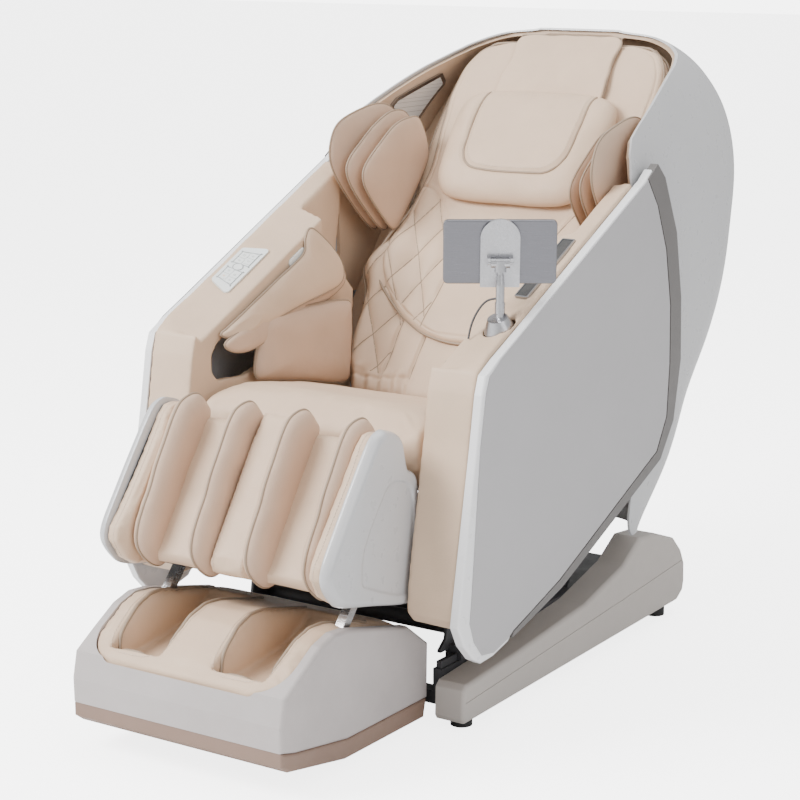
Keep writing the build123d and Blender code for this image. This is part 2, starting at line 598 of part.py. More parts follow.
calf_frame = slab(CAP, -240, 240, grow=-10) - slab(CAP, -241, 241, grow=-13)
calf_frame -= slab(front, -300, 300)
calf_frame -= slab([(-470, 420), (-300, 420), (-300, 700), (-470, 700)], -300, 300)
for x0 in (-240, 234):
    calf_frame += slab(CAP, x0, x0 + 6, grow=-10)
for side in (-1, 1):
    hole = slide_box(190, 210, -40, 400, 10)
    calf_frame -= hole if side > 0 else other(hole)
    guide = slide_box(186, 214, 170, 290, 14) - slide_box(191 - SLIDE_GAP, 209 + SLIDE_GAP, -10, 400,
                                                        9 + SLIDE_GAP)
    guide += slide_box(213, 235, 190, 260, 5)
    calf_frame += guide if side > 0 else other(guide)
calf_frame -= rod(-250, 250, *KNEE, HINGE_D)
put("calf_frame", calf_frame)
put("knee_shaft", rod(-240, 240, *KNEE, HINGE_D))

wall = slab(CAP, 212, 240, grow=-3) & slab(front, 200, 250)
wall -= slab(CAP, 233.5, 241, grow=-9.5)
calf_cushion = slab(CHANNEL, -212, 212) + wall + other(wall)
calf_cushion += slab(DIVIDER, -38, 38, r=4)
calf_cushion -= rod(-250, 250, *KNEE, 40)
fins = []
for x in (62, 190):
    fin = slab(FIN, x - 21, x + 21, r=4)
    fin = soften(fin, edges_at(fin, x - 21) + edges_at(fin, x + 21), 12, 8, 5)
    fin -= calf_cushion
    fin = max(fin.solids(), key=lambda s: s.volume)
    fins += [fin, other(fin)]
rail_room = slide_box(184, 216, -60, 400, 16)
calf_cushion -= rail_room + other(rail_room)
put("calf_cushion", max(calf_cushion.solids(), key=lambda s: s.volume))
put("calf_fins", *fins)
cap_l = calf_cap()
put("calf_cap_left", cap_l)
put("calf_cap_right", other(cap_l))

# ---------------------------------------------------------------- foot rest
def foot_plan(gap, low):
    """Everything above a height that lies inside the cushion's plan, its front corners rounded."""
    half = FOOT_HALF - FOOT_BORDER - gap
    room = block(-half, half, -790 + gap, -320, low, 320)
    return fillet(room.edges().filter_by(Axis.Z).group_by(Axis.Y)[0], FOOT_ROUND)


foot_shell = slab(FOOT, -FOOT_HALF, FOOT_HALF)
foot_shell = soften(foot_shell, edges_at(foot_shell, FOOT_HALF) + edges_at(foot_shell, -FOOT_HALF), 8, 5, 3)
foot_shell -= slab(FOOT, -FOOT_HALF + 5, FOOT_HALF - 5, grow=-5) & block(-400, 400, -820, -300, 0, FOOT_LIP)
foot_shell -= foot_plan(0, FOOT_LIP - 1)
put("foot_shell", foot_shell)
band = slab(BAND, -FOOT_HALF + 1, FOOT_HALF - 1)
band = soften(band, edges_at(band, FOOT_HALF - 1) + edges_at(band, -FOOT_HALF + 1), 6, 4, 2)
band -= slab(BAND, -FOOT_HALF + 6, FOOT_HALF - 6, grow=-4)
band -= slab(FOOT, -FOOT_HALF - 5, FOOT_HALF + 5)
put("foot_band", band)
rail_l = slide_box(191, 209, -22, RAIL_LONG, 9)
cross = block(-209, 209, -652, -622, 146, 160)
rails = rail_l + other(rail_l) + cross
put("foot_rails", rails)
foot_cushion = slab(FOOT, -FOOT_HALF + 9.2, FOOT_HALF - 9.2, r=2) & foot_plan(0.2, FOOT_LIP + 0.5)
foot_cushion += slab(FOOT, -FOOT_HALF + 6, FOOT_HALF - 6, grow=-6) & foot_plan(0.2, 112)
for x in (58, -176):
    well = slab(WELL, x, x + 118)
    foot_cushion -= soften(well, well.edges().filter_by(GeomType.LINE).group_by(Axis.Z)[0], 20, 10)
clear = slide_box(190.5, 209.5, -24, 400, 9.5) + block(-209.5, 209.5, -652.5, -621.5, 145.5, 160.5)
foot_cushion -= clear + other(slide_box(190.5, 209.5, -24, 400, 9.5))
put("foot_cushion", max(foot_cushion.solids(), key=lambda s: s.volume))

for node, shape in nodes.items():
    placed = [solid.translate((-MIDDLE[0], -MIDDLE[1], 0)) for solid in shape.solids()]
    whole = placed[0] if len(placed) == 1 else Compound(children=placed)
    export_step(whole, "parts/%s.step" % node)
print(len(nodes), "nodes")
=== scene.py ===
"""Home massage chair: upholstery, shells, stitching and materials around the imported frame.

Outlines are in millimetres in the chair's own layout: x from the plane of symmetry, y from front to
back, z up from the floor. spot() turns them into the frame's metres.
"""
import json
import math

import bmesh
import bpy
import numpy as np
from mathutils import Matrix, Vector
from mathutils.bvhtree import BVHTree


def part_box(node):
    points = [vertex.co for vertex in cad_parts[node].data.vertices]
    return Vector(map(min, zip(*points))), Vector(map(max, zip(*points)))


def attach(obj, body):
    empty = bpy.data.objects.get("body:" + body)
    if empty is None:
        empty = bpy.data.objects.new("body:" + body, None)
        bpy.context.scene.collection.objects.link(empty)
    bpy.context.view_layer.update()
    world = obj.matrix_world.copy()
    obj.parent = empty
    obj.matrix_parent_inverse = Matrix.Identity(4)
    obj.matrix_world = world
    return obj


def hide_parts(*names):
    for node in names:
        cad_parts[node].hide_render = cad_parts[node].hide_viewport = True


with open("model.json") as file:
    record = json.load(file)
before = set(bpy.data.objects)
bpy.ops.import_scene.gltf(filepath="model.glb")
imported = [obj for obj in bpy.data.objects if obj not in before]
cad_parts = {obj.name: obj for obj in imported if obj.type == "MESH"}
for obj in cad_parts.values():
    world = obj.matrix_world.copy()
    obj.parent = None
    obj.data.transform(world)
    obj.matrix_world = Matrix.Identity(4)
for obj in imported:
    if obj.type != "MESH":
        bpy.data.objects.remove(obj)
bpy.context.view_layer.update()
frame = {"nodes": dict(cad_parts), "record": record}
nodes = frame["nodes"]

MM = 0.001
TURN = 6.28                                  # one turn, as the wave patterns use it
LEAN = math.radians(39)                      # back's lean from the vertical
BACK_FOOT = (50, 523)                        # where the back's surface meets the seat (y, z)
SHELL_REAR = 0.817                           # rearmost point of the shell in the chair's own layout
MID_X = 0.5 * (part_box("side_panel_left")[0].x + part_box("side_panel_right")[1].x)
MID_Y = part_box("back_shell")[1].y - SHELL_REAR
PIPE = 2.4                                   # piping radius
CROWN = 0.62                                 # part of a pad's reach that its rise takes
TUCK = 0.985                                 # width of a panel's back beside its front


# ---------------------------------------------------------------- places
def spot(x, y, z):
    """Chair layout in millimetres to the frame's metres, for numbers or arrays."""
    return np.stack(np.broadcast_arrays(np.asarray(x, float) * MM + MID_X,
                                        np.asarray(y, float) * MM + MID_Y,
                                        np.asarray(z, float) * MM), -1)


def on_back(x, along, out):
    """Place at x, a distance up the back and a distance in front of it."""
    along, out = np.asarray(along, float), np.asarray(out, float)
    y = BACK_FOOT[0] + along * math.sin(LEAN) - out * math.cos(LEAN)
    z = BACK_FOOT[1] + along * math.cos(LEAN) + out * math.sin(LEAN)
    return spot(x, y, z)


def smooth(t):
    """Soft step from 0 at t = 0 to 1 at t = 1."""
    t = np.clip(t, 0, 1)
    return t * t * (3 - 2 * t)


def waves(u, v, scale, seed=0):
    """Soft uneven relief, about -1 to 1, from a few crossed sine waves."""
    r = np.random.default_rng(seed)
    total = 0
    for _ in range(7):
        angle, phase, k = r.uniform(0, TURN), r.uniform(0, TURN), r.uniform(0.6, 1.7) / scale
        total = total + np.sin(k * TURN * (u * math.cos(angle) + v * math.sin(angle)) + phase)
    return total / 3.5


def curve_through(points, count, closed=True):
    """Evenly spaced points on a rounded curve through the given ones."""
    p = np.asarray(points, float)
    n = len(p)
    spans = n if closed else n - 1
    fine = []
    for i in range(spans):
        ids = [(i - 1) % n, i, (i + 1) % n, (i + 2) % n] if closed else \
            [max(i - 1, 0), i, i + 1, min(i + 2, n - 1)]
        a, b, c, d = p[ids]
        t = np.linspace(0, 1, 24, endpoint=False)[:, None]
        fine.append(0.5 * (2 * b + (c - a) * t + (2 * a - 5 * b + 4 * c - d) * t ** 2
                           + (3 * b - a - 3 * c + d) * t ** 3))
    fine = np.vstack(fine + [p[:1] if closed else p[-1:]])
    run = np.concatenate([[0], np.cumsum(np.linalg.norm(np.diff(fine, axis=0), axis=1))])
    at = np.linspace(0, run[-1], count, endpoint=not closed)
    return np.stack([np.interp(at, run, fine[:, k]) for k in range(p.shape[1])], 1)


# ---------------------------------------------------------------- materials
def shader(name, colour, roughness, **sockets):
    """Principled material; other sockets by name, with _ for a space."""
    m = bpy.data.materials.new(name)
    m.use_nodes = True
    b = m.node_tree.nodes["Principled BSDF"]
    b.inputs["Base Color"].default_value = (*colour, 1)
    b.inputs["Roughness"].default_value = roughness
    for key, value in sockets.items():
        b.inputs[key.replace("_", " ")].default_value = value
    return m


def add(m, kind, **values):
    """New shader node with its sockets or settings filled in."""
    n = m.node_tree.nodes.new("ShaderNode" + kind)
    for key, value in values.items():
        if key in n.inputs:
            n.inputs[key].default_value = value
        else:
            setattr(n, key, value)
    return n


def link(m, a, b):
    m.node_tree.links.new(a, b)


def noise(m, scale, detail=3.0, stretch=(1, 1, 1)):
    """Noise in object coordinates, in cycles per metre."""
    where = add(m, "TexCoord")
    mapping = add(m, "Mapping")
    mapping.inputs["Scale"].default_value = stretch
    link(m, where.outputs["Object"], mapping.inputs["Vector"])
    n = add(m, "TexNoise", Scale=scale, Detail=detail)
    link(m, mapping.outputs[0], n.inputs["Vector"])
    return n.outputs["Fac"]


def vary(m, factor, dark, light, socket="Base Color", low=0.35, high=0.65):
    """Colour ramp between two colours, driven by a pattern, into one socket."""
    ramp = add(m, "ValToRGB")
    ramp.color_ramp.elements[0].position, ramp.color_ramp.elements[1].position = low, high
    ramp.color_ramp.elements[0].color = (*dark, 1)
    ramp.color_ramp.elements[1].color = (*light, 1)
    link(m, factor, ramp.inputs[0])
    link(m, ramp.outputs[0], m.node_tree.nodes["Principled BSDF"].inputs[socket])


def bumps(m, *layers):
    """Bump layers of (height, depth in metres)."""
    last = None
    for height, depth in layers:
        b = add(m, "Bump", Distance=depth, Strength=1.0)
        link(m, height, b.inputs["Height"])
        if last:
            link(m, last.outputs[0], b.inputs["Normal"])
        last = b
    link(m, last.outputs[0], m.node_tree.nodes["Principled BSDF"].inputs["Normal"])


def scaled(colour, k):
    return tuple(c * k for c in colour)


def leather_material(name, colour, grain=1.0):
    """Fine-celled leather with a soft sheen and slight unevenness."""
    m = shader(name, colour, 0.5, Coat_Weight=0.06, Coat_Roughness=0.45)
    vary(m, noise(m, 9, 5), scaled(colour, 0.955), scaled(colour, 1.03))
    vary(m, noise(m, 60, 4), (0.44,) * 3, (0.58,) * 3, "Roughness")
    cells = add(m, "TexVoronoi", Scale=900.0, feature="DISTANCE_TO_EDGE")
    where = add(m, "TexCoord")
    link(m, where.outputs["Object"], cells.inputs["Vector"])
    bumps(m, (cells.outputs["Distance"], 0.0004 * grain), (noise(m, 260, 4), 0.0003 * grain),
          (noise(m, 26, 3), 0.0012))
    return m


def plastic_material(name, colour, roughness, coat=0.0, texture=0.00004, spread=0.02):
    """Moulded or painted part with a faint surface texture."""
    m = shader(name, colour, roughness, Coat_Weight=coat, Coat_Roughness=0.12)
    vary(m, noise(m, 5, 3), scaled(colour, 1 - spread), scaled(colour, 1 + spread * 0.5))
    vary(m, noise(m, 40, 4), (roughness * 0.9,) * 3, (min(roughness * 1.12, 1),) * 3, "Roughness")
    bumps(m, (noise(m, 1500, 2), texture))
    return m


def metal_material(name, colour, roughness, stretch=(1, 1, 1), scratch=0.00003):
    """Metal whose marks run along the stretched direction."""
    m = shader(name, colour, roughness, Metallic=1.0)
    vary(m, noise(m, 240, 3, stretch), scaled(colour, 0.93), scaled(colour, 1.04))
    vary(m, noise(m, 30, 4, stretch), (roughness * 0.8,) * 3, (roughness * 1.2,) * 3, "Roughness")
    bumps(m, (noise(m, 900, 2, stretch), scratch))
    return m


def grille_material(name, colour):
    """Speaker mesh with rows of small dark holes."""
    m = shader(name, colour, 0.5)
    where = add(m, "TexCoord")
    holes = add(m, "TexVoronoi", Scale=260.0, Randomness=0.0)
    link(m, where.outputs["Object"], holes.inputs["Vector"])
    vary(m, holes.outputs["Distance"], scaled(colour, 0.35), colour, low=0.2, high=0.34)
    bumps(m, (holes.outputs["Distance"], 0.0006))
    return m


CREAM = (0.66, 0.485, 0.345)
MAT = {
    "leather": leather_material("leather_cream", CREAM),
    # piping leather, also laid thin along the back's quilt lines and upright seams as painted shade
    "pipe": leather_material("leather_piping_and_seam_shade", scaled(CREAM, 0.5), 0.6),
    "airbag": leather_material("leather_airbag", (0.57, 0.405, 0.295), 0.8),
    "thread": plastic_material("stitch_thread", (0.74, 0.62, 0.52), 0.7, texture=0.0001),
    "foot_white": leather_material("cover_white", (0.47, 0.43, 0.42), 0.7),
    "foot_brown": plastic_material("band_brown", (0.25, 0.165, 0.125), 0.55, texture=0.0001, spread=0.05),
    "pearl_white": plastic_material("pearl_white", (0.53, 0.53, 0.54), 0.3, coat=0.4),
    "rim_white": plastic_material("rim_white", (0.86, 0.86, 0.87), 0.3, coat=0.4),
    "satin_grey": plastic_material("satin_face", (0.41, 0.40, 0.41), 0.36, coat=0.15),
    "dark_trim": plastic_material("trim_dark", (0.115, 0.105, 0.1), 0.33, coat=0.3, spread=0.08),
    "base_grey": plastic_material("base_grey", (0.45, 0.415, 0.385), 0.55, texture=0.00012),
    "black_rubber": plastic_material("rubber", (0.025, 0.025, 0.025), 0.8, texture=0.0003),
    "steel": plastic_material("steel_coated", (0.05, 0.05, 0.055), 0.45, texture=0.0002),
    "bright_steel": metal_material("steel_ground", (0.6, 0.6, 0.61), 0.25, (1, 8, 8)),
    "silver": metal_material("aluminium_satin", (0.52, 0.52, 0.54), 0.3),
    "tablet_shell": metal_material("aluminium_brushed", (0.22, 0.22, 0.24), 0.34, (1, 1, 30)),
    "screen": plastic_material("screen_glass", (0.01, 0.01, 0.013), 0.08, coat=1.0, texture=0.000002),
    "key_white": plastic_material("key_white", (0.76, 0.79, 0.78), 0.25, coat=0.3),
    "mat_dark": plastic_material("tray_mat", (0.05, 0.05, 0.05), 0.7, texture=0.0006),
    "grille_white": grille_material("speaker_mesh", (0.74, 0.73, 0.71)),
    "chrome_dark": metal_material("frame_chrome", (0.42, 0.43, 0.45), 0.2),
    "black_plastic": plastic_material("plastic_black", (0.04, 0.04, 0.04), 0.6, texture=0.0002),
    "cable": plastic_material("cable_braid", (0.07, 0.07, 0.075), 0.6, texture=0.0006),
    "icon_grey": plastic_material("icon_grey", (0.38, 0.40, 0.40), 0.4),
    "icon_orange": plastic_material("icon_orange", (0.8, 0.36, 0.1), 0.4),
}
for part in frame["record"]["subparts"]:
    mesh = nodes[part["node"]].data
    mesh.materials.clear()
    white = part["node"].startswith("side_panel")
    mesh.materials.append(MAT["rim_white" if white else part["material_slot"]])


# ---------------------------------------------------------------- making pieces
def piece(name, verts, faces, body, material, replaces=(), fill=None):
    """Object from vertices in metres and faces, with outward normals and doubles merged."""
    mesh = bpy.data.meshes.new(name)
    mesh.from_pydata([tuple(v) for v in verts], [], [tuple(int(i) for i in f) for f in faces])
    bm = bmesh.new()
    bm.from_mesh(mesh)
    bmesh.ops.remove_doubles(bm, verts=bm.verts, dist=0.00004)
    bmesh.ops.recalc_face_normals(bm, faces=bm.faces)
    bm.to_mesh(mesh)
    bm.free()
    o = bpy.data.objects.new(name, mesh)
    bpy.context.scene.collection.objects.link(o)
    return dress(o, body, material, replaces)


def dress(o, body, material, replaces=()):
    """Material, smooth faces, body and material slot of a piece; hides the CAD parts it replaces."""
    o.data.materials.clear()
    o.data.materials.append(MAT[material])
    for p in o.data.polygons:
        p.use_smooth = True
    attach(o, body)
    if replaces:
        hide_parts(*replaces)
    return o


def tube_mesh(points, radius, closed, sides=8):
    """Vertices and faces of a round tube along points in metres."""
    p = np.asarray(points, float)
    n = len(p)
    ahead = np.roll(p, -1, 0) - np.roll(p, 1, 0)
    if not closed:
        ahead[0], ahead[-1] = p[1] - p[0], p[-1] - p[-2]
    ahead /= np.linalg.norm(ahead, axis=1)[:, None] + 1e-12
    side = np.cross(ahead[0], (0.31, 0.52, 0.79))
    verts, faces = [], []
    for i in range(n):
        side = side - ahead[i] * (side @ ahead[i])
        side /= np.linalg.norm(side)
        up = np.cross(ahead[i], side)
        for k in range(sides):
            a = 2 * math.pi * k / sides
            verts.append(p[i] + radius * MM * (side * math.cos(a) + up * math.sin(a)))
    for i in range(n if closed else n - 1):
        j = (i + 1) % n
        for k in range(sides):
            m = (k + 1) % sides
            faces.append((i * sides + k, i * sides + m, j * sides + m, j * sides + k))
    if not closed:
        faces += [tuple(range(sides))[::-1], tuple((n - 1) * sides + k for k in range(sides))]
    return verts, faces


def joined(parts):
    """Several (vertices, faces) pairs as one."""
    verts, faces = [], []
    for v, f in parts:
        faces += [tuple(i + len(verts) for i in face) for face in f]
        verts += list(v)
    return verts, faces


def piping(name, lines, body, material="pipe", radius=PIPE, closed=True):
    """Sewn-in piping along lines in metres, as one piece; also used for thin dark lines of painted shade
    along the back's quilt seams.
    """
    return piece(name, *joined([tube_mesh(line, radius, closed) for line in lines]), body, material)


def stitch_mesh(points, step=7.0, length=4.4, radius=0.55):
    """Short thread stitches along a line in metres."""
    p = np.asarray(points, float)
    run = np.concatenate([[0], np.cumsum(np.linalg.norm(np.diff(p, axis=0), axis=1))]) / MM
    parts = []
    for start in np.arange(2, run[-1] - length, step):
        at = np.array([0, 0.25, 0.75, 1.0]) * length + start
        line = np.stack([np.interp(at, run, p[:, k]) for k in range(3)], 1)
        parts.append(tube_mesh(line, radius, False, 5))
    return joined(parts)


def stitches(name, lines, body):
    """Rows of thread stitches along lines in metres, as one piece."""
    return piece(name, *joined([stitch_mesh(line) for line in lines]), body, "thread")


def puff(d, width):
    """Rounded rise from a seam, 0 to 1, over a width."""
    return np.sqrt(np.clip(1 - (1 - np.clip(d / width, 0, 1)) ** 2, 0, 1))


def pad(name, outline, core, place, front, back, body, material="leather", replaces=(), fill=0.6,
        count=150, rings=26, pucker=1.0, detail=None, pipe=PIPE, seed=1, roll=0):
    """Stuffed pad: an outline in (u, v), two crowned faces meeting at a piped seam.

    place(u, v, h) gives the frame's metres, front and back are the faces' heights in the middle."""
    edge = curve_through(outline, count)
    a, b = (np.array(c, float) for c in core)
    axis = b - a
    length = max(axis @ axis, 1e-6)
    target = a + np.clip(((edge - a) @ axis) / length, 0, 1)[:, None] * axis
    reach = np.linalg.norm(edge - target, axis=1)
    arc = np.arange(count) / count
    verts, faces = [], []
    for side, height in ((1, front), (-1, back)):
        start = len(verts)
        for i in range(rings + 1):
            t = 1 - (i / rings) ** 1.35
            u, v = (target + t * (edge - target)).T
            d = (1 - t) * reach
            rise = puff(d, roll or CROWN * reach.mean())
            ripple = waves(arc * count, d * 0.15, 11.0, seed) * np.exp(-d / 16) * puff(d, 9)
            relief = waves(u, v, 110, seed + 3) * puff(d, 40)
            h = side * (height * rise + pucker * (0.9 * ripple + 1.1 * relief))
            if detail is not None and side > 0:
                h = h + detail(u, v, d)
            verts += list(place(u, v, h))
        for i in range(rings):
            for k in range(count):
                m = (k + 1) % count
                q = (start + i * count + k, start + i * count + m, start + (i + 1) * count + m,
                     start + (i + 1) * count + k)
                faces.append(q if side > 0 else q[::-1])
    o = piece(name, verts, faces, body, material, replaces, fill)
    if pipe:
        line = place(edge[:, 0], edge[:, 1], np.zeros(count))
        piping(name + "_piping", [line], body, radius=pipe)
    return o


def panel(name, rows, place, height, body, columns=150, lines=200, depth=24, replaces=(), fill=0.5,
          material="leather"):
    """Padded sheet over a symmetric outline given as (v, half width) rows, closed behind."""
    rows = np.array(rows, float)
    v = np.linspace(rows[0, 0], rows[-1, 0], lines)
    knots = curve_through(rows, 400, closed=False)
    order = np.argsort(knots[:, 0])
    half = np.interp(v, knots[order, 0], knots[order, 1])
    slope = np.gradient(half, v)
    s = np.sin(np.linspace(-1, 1, columns) * math.pi / 2) * 0.35 + np.linspace(-1, 1, columns) * 0.65
    u = s[None, :] * half[:, None]
    vv = np.repeat(v[:, None], columns, 1)
    d = (half[:, None] - np.abs(u)) / np.sqrt(1 + slope[:, None] ** 2)
    d = np.minimum(d, np.minimum(vv - v[0], v[-1] - vv))
    h = height(u, vv, d)
    low = np.full_like(h, -depth)
    verts = list(place(u, vv, h).reshape(-1, 3)) + list(place(u * TUCK, vv, low).reshape(-1, 3))
    n = lines * columns
    faces = []
    for i in range(lines - 1):
        for k in range(columns - 1):
            q = (i * columns + k, i * columns + k + 1, (i + 1) * columns + k + 1, (i + 1) * columns + k)
            faces += [q, tuple(n + j for j in q[::-1])]
    ring = [k for k in range(columns)] + [i * columns + columns - 1 for i in range(1, lines)] \
        + [(lines - 1) * columns + k for k in range(columns - 2, -1, -1)] \
        + [i * columns for i in range(lines - 2, 0, -1)]
    for j, a in enumerate(ring):
        b = ring[(j + 1) % len(ring)]
        faces.append((a, n + a, n + b, b))
    return piece(name, verts, faces, body, material, replaces, fill)


CLOTH_QUALITY, CLOTH_FRAMES = 4, 20


def softened(name, node, voxel, passes, body, material="leather", swell=0.0, cap=10.0,
             crease=0.8, keep=None):
    """Soft copy of a CAD cushion: remeshed, rounded, swollen under pressure, then subdivided."""
    o = bpy.data.objects.new(name, nodes[node].data.copy())
    bpy.context.scene.collection.objects.link(o)
    bpy.context.view_layer.objects.active = o
    remesh = o.modifiers.new("remesh", "REMESH")
    remesh.mode = "VOXEL"
    remesh.voxel_size = voxel * MM
    relax = o.modifiers.new("relax", "SMOOTH")
    relax.factor, relax.iterations = 0.5, passes
    apply_modifiers(o)
    if swell:
        inflate(o, swell, cap, keep)
    level = o.modifiers.new("fine", "SUBSURF")
    level.levels = level.render_levels = 1
    apply_modifiers(o)
    if crease:
        co = np.empty(len(o.data.vertices) * 3)
        o.data.vertices.foreach_get("co", co)
        co = co.reshape(-1, 3)
        normal = np.array([v.normal for v in o.data.vertices])
        wave = waves(co[:, 0] / MM + co[:, 2] / MM * 0.6, co[:, 1] / MM, 120, len(name))
        co = co + normal * (wave * crease * MM)[:, None]
        o.data.vertices.foreach_set("co", co.ravel())
    return dress(o, body, material, (node,))


def apply_modifiers(o):
    """Bakes an object's modifiers into its mesh."""
    deps = bpy.context.evaluated_depsgraph_get()
    mesh = bpy.data.meshes.new_from_object(o.evaluated_get(deps))
    o.modifiers.clear()
    o.data = mesh


def inflate(o, pressure, cap, keep):
    """Cloth under pressure with no gravity, no point moving further than the cap."""
    before = np.array([v.co for v in o.data.vertices])
    pins = o.vertex_groups.new(name="held")
    held = [i for i, c in enumerate(before) if keep is not None and keep(c)]
    pins.add(held, 1.0, "REPLACE")
    cloth = o.modifiers.new("cloth", "CLOTH")
    cloth.settings.use_pressure = True
    cloth.settings.uniform_pressure_force = pressure
    cloth.settings.effector_weights.gravity = 0
    cloth.settings.quality = CLOTH_QUALITY
    if held:
        cloth.settings.vertex_group_mass = "held"
    for f in range(1, CLOTH_FRAMES + 1):
        bpy.context.scene.frame_set(f)
    deps = bpy.context.evaluated_depsgraph_get()
    after = np.array([v.co for v in o.evaluated_get(deps).data.vertices])
    o.modifiers.clear()
    o.vertex_groups.clear()
    bpy.context.scene.frame_set(1)
    move = after - before
    far = np.linalg.norm(move, axis=1)[:, None] + 1e-9
    after = before + move * np.minimum(1, cap * MM / far)
    o.data.vertices.foreach_set("co", after.ravel())


def tree_of(o):
    return BVHTree.FromPolygons([v.co for v in o.data.vertices], [p.vertices for p in o.data.polygons])


def cast(tree, points, direction, lift=0.6):
    """Points in metres dropped along a direction on to a surface, kept just above it."""
    out = []
    way = Vector(direction).normalized()
    for p in points:
        hit = tree.ray_cast(Vector(p), way)
        if hit[0] is not None:
            out.append(hit[0] + hit[1] * (lift * MM) * (1 if hit[1].dot(way) < 0 else -1))
    return np.array(out)


# ---------------------------------------------------------------- camera, cord
CAMERA_SPOT = (2320.3, -3577.1, 1480.3)      # in the chair's own layout
CAMERA_TURN, CAMERA_DOWN = math.radians(33.53), math.radians(12.48)
LENS, SENSOR = 97.16, 36


def camera():
    """View from the chair's front left, slightly above."""
    cam = bpy.data.cameras.new("camera")
    cam.lens, cam.sensor_width, cam.clip_end = LENS, SENSOR, 50
    o = bpy.data.objects.new("camera", cam)
    bpy.context.scene.collection.objects.link(o)
    level = math.cos(CAMERA_DOWN)
    look = Vector((-math.sin(CAMERA_TURN) * level, math.cos(CAMERA_TURN) * level, -math.sin(CAMERA_DOWN)))
    o.rotation_euler = look.to_track_quat("-Z", "Y").to_euler()
    o.location = spot(*CAMERA_SPOT)
    bpy.context.scene.camera = o


CABLE = [(327, -252, 812), (314, -253, 810), (303, -257, 802), (295, -264, 788), (290, -272, 772),
         (287.5, -279, 754), (287, -283, 738)]
CABLE_LENGTH, CABLE_THICK = 0.0989, 0.004


def cable():
    """Braided lead from the tablet post down into the gap at the armrest."""
    data = bpy.data.curves.new("tablet_lead", "CURVE")
    data.dimensions = "3D"
    data.bevel_depth, data.bevel_resolution = CABLE_THICK / 2, 4
    data.use_fill_caps = True
    line = data.splines.new("NURBS")
    line.points.add(len(CABLE) - 1)
    for p, c in zip(line.points, CABLE):
        p.co = (*spot(*c), 1)
    line.order_u = 3
    line.use_endpoint_u = True
    line.resolution_u = 8
    data.materials.append(MAT["cable"])
    o = bpy.data.objects.new("tablet_lead", data)
    bpy.context.scene.collection.objects.link(o)
    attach(o, "seat")
    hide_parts("tablet_cable")
    tuple(spot(*CABLE[0]))


camera()
cable()

# ---------------------------------------------------------------- back
QUILT = (34.0, 67.0)                         # diamond width and height
QUILT_DEPTH, SEAM_DEPTH = 9.0, 7.0
SEAM_X = (150, 82)                           # upright seams of the lower back


def quilt(u, v):
    """Diamond quilting, 0 in the sewn lines and 1 in the middle of a diamond."""
    p, q = u / QUILT[0] + v / QUILT[1], u / QUILT[0] - v / QUILT[1]
    return np.abs(np.sin(math.pi * p / 2) * np.sin(math.pi * q / 2)) ** 0.45


def groove(distance, width=3.2):
    """Bell-shaped dip, 1 on the seam and 0 away from it."""
    return np.exp(-(distance / width) ** 2)


def back_relief(u, v, d):
    """Main back pad: rolled edge, forward side wings, quilted sides, pleats at the seat."""
    x = np.abs(u)
    h = -16 + 16 * puff(d, 26)
    h = h + 30 * smooth((x - 165) / 95) * smooth(v / 60) * smooth((470 - v) / 120) * puff(d, 40)
    sides = smooth((x - 152) / 6) * smooth((520 - v) / 12) * smooth((v - 44) / 10)
    h = h + QUILT_DEPTH * sides * (quilt(u, v) - 0.6)
    for seam in SEAM_X:
        h = h - SEAM_DEPTH * groove(x - seam) * smooth((300 - v) / 20) * smooth((v - 30) / 10)
    pleat = smooth((70 - v) / 30) * smooth((x - 60) / 30)
    h = h + 4.0 * pleat * np.sin(x / 5.2 + 0.6 * np.sin(v / 9.0))
    h = h - 3.0 * groove(v - (46 + 10 * np.cos(x / 60)), 4.5) * smooth((x - 70) / 20)
    return h + 1.6 * waves(u, v, 150, 4)


BACK_ROWS = [(2, 214), (40, 232), (82, 246), (150, 254), (206, 260), (240, 270), (275, 290), (300, 294),
             (340, 276), (385, 256), (440, 250), (520, 258), (640, 266), (740, 266), (800, 260),
             (850, 240), (880, 210), (900, 150)]
back_pad = panel("back_upholstery", BACK_ROWS, on_back, back_relief, "back", columns=190, lines=330,
                 depth=56, replaces=("back_cushion", "back_wings"))

HEM = [(138, 26), (150, 84), (172, 130), (197, 169), (244, 222), (287, 250), (323, 259), (367, 250),
       (433, 238), (536, 228), (597, 234), (709, 250), (800, 249), (850, 232), (877, 206), (892, 150)]


def upper_relief(u, v, d):
    """Upper back cover with a curved lower hem, quilted low at the sides and plain in the middle."""
    x = np.abs(u)
    h = 2 + 12 * puff(d, 22) + 24 * smooth((x - 160) / 90) * smooth((470 - v) / 120) * smooth(d / 30)
    arc = np.hypot((x - 250) / 118, (v - 400) / 104)
    sides = smooth((1.0 - arc) * 14 + 0.5) * smooth((d - 14) / 4)
    low = smooth((x - 92 + (v - 180) * 0.1) / 5) * smooth((410 - v) / 6) * smooth((d - 14) / 4)
    h = h + QUILT_DEPTH * np.maximum(sides, low) * (quilt(u, v) - 0.6)
    h = h - 2.6 * groove(x - (92 - (v - 180) * 0.13)) * smooth((400 - v) / 20) * smooth((d - 12) / 6)
    h = h - 2.4 * groove(d - 13, 2.2)
    h = h - 2.6 * groove((arc - 1) * 100, 3.0) * smooth((v - 400) / 10)
    return h + 1.8 * waves(u, v, 130, 9)


cover = panel("back_cover", HEM, on_back, upper_relief, "back", columns=180, lines=300, depth=6)
INTO_BACK = tuple(on_back(0, 0, 0) - on_back(0, 0, 1000))


def sewn(o, lines, keep):
    """Runs of the given (u, v) lines lying where keep says, dropped onto the face of a back panel."""
    tree, found = tree_of(o), []
    for u, v in lines:
        good = keep(u, v)
        cuts = np.flatnonzero(np.diff(good.astype(int))) + 1
        for run in np.split(np.arange(len(u)), cuts):
            if len(run) > 5 and good[run[0]]:
                hit = cast(tree, on_back(u[run], v[run], 140), INTO_BACK, 0.2)
                if len(hit) > 5:
                    found.append(hit)
    return found


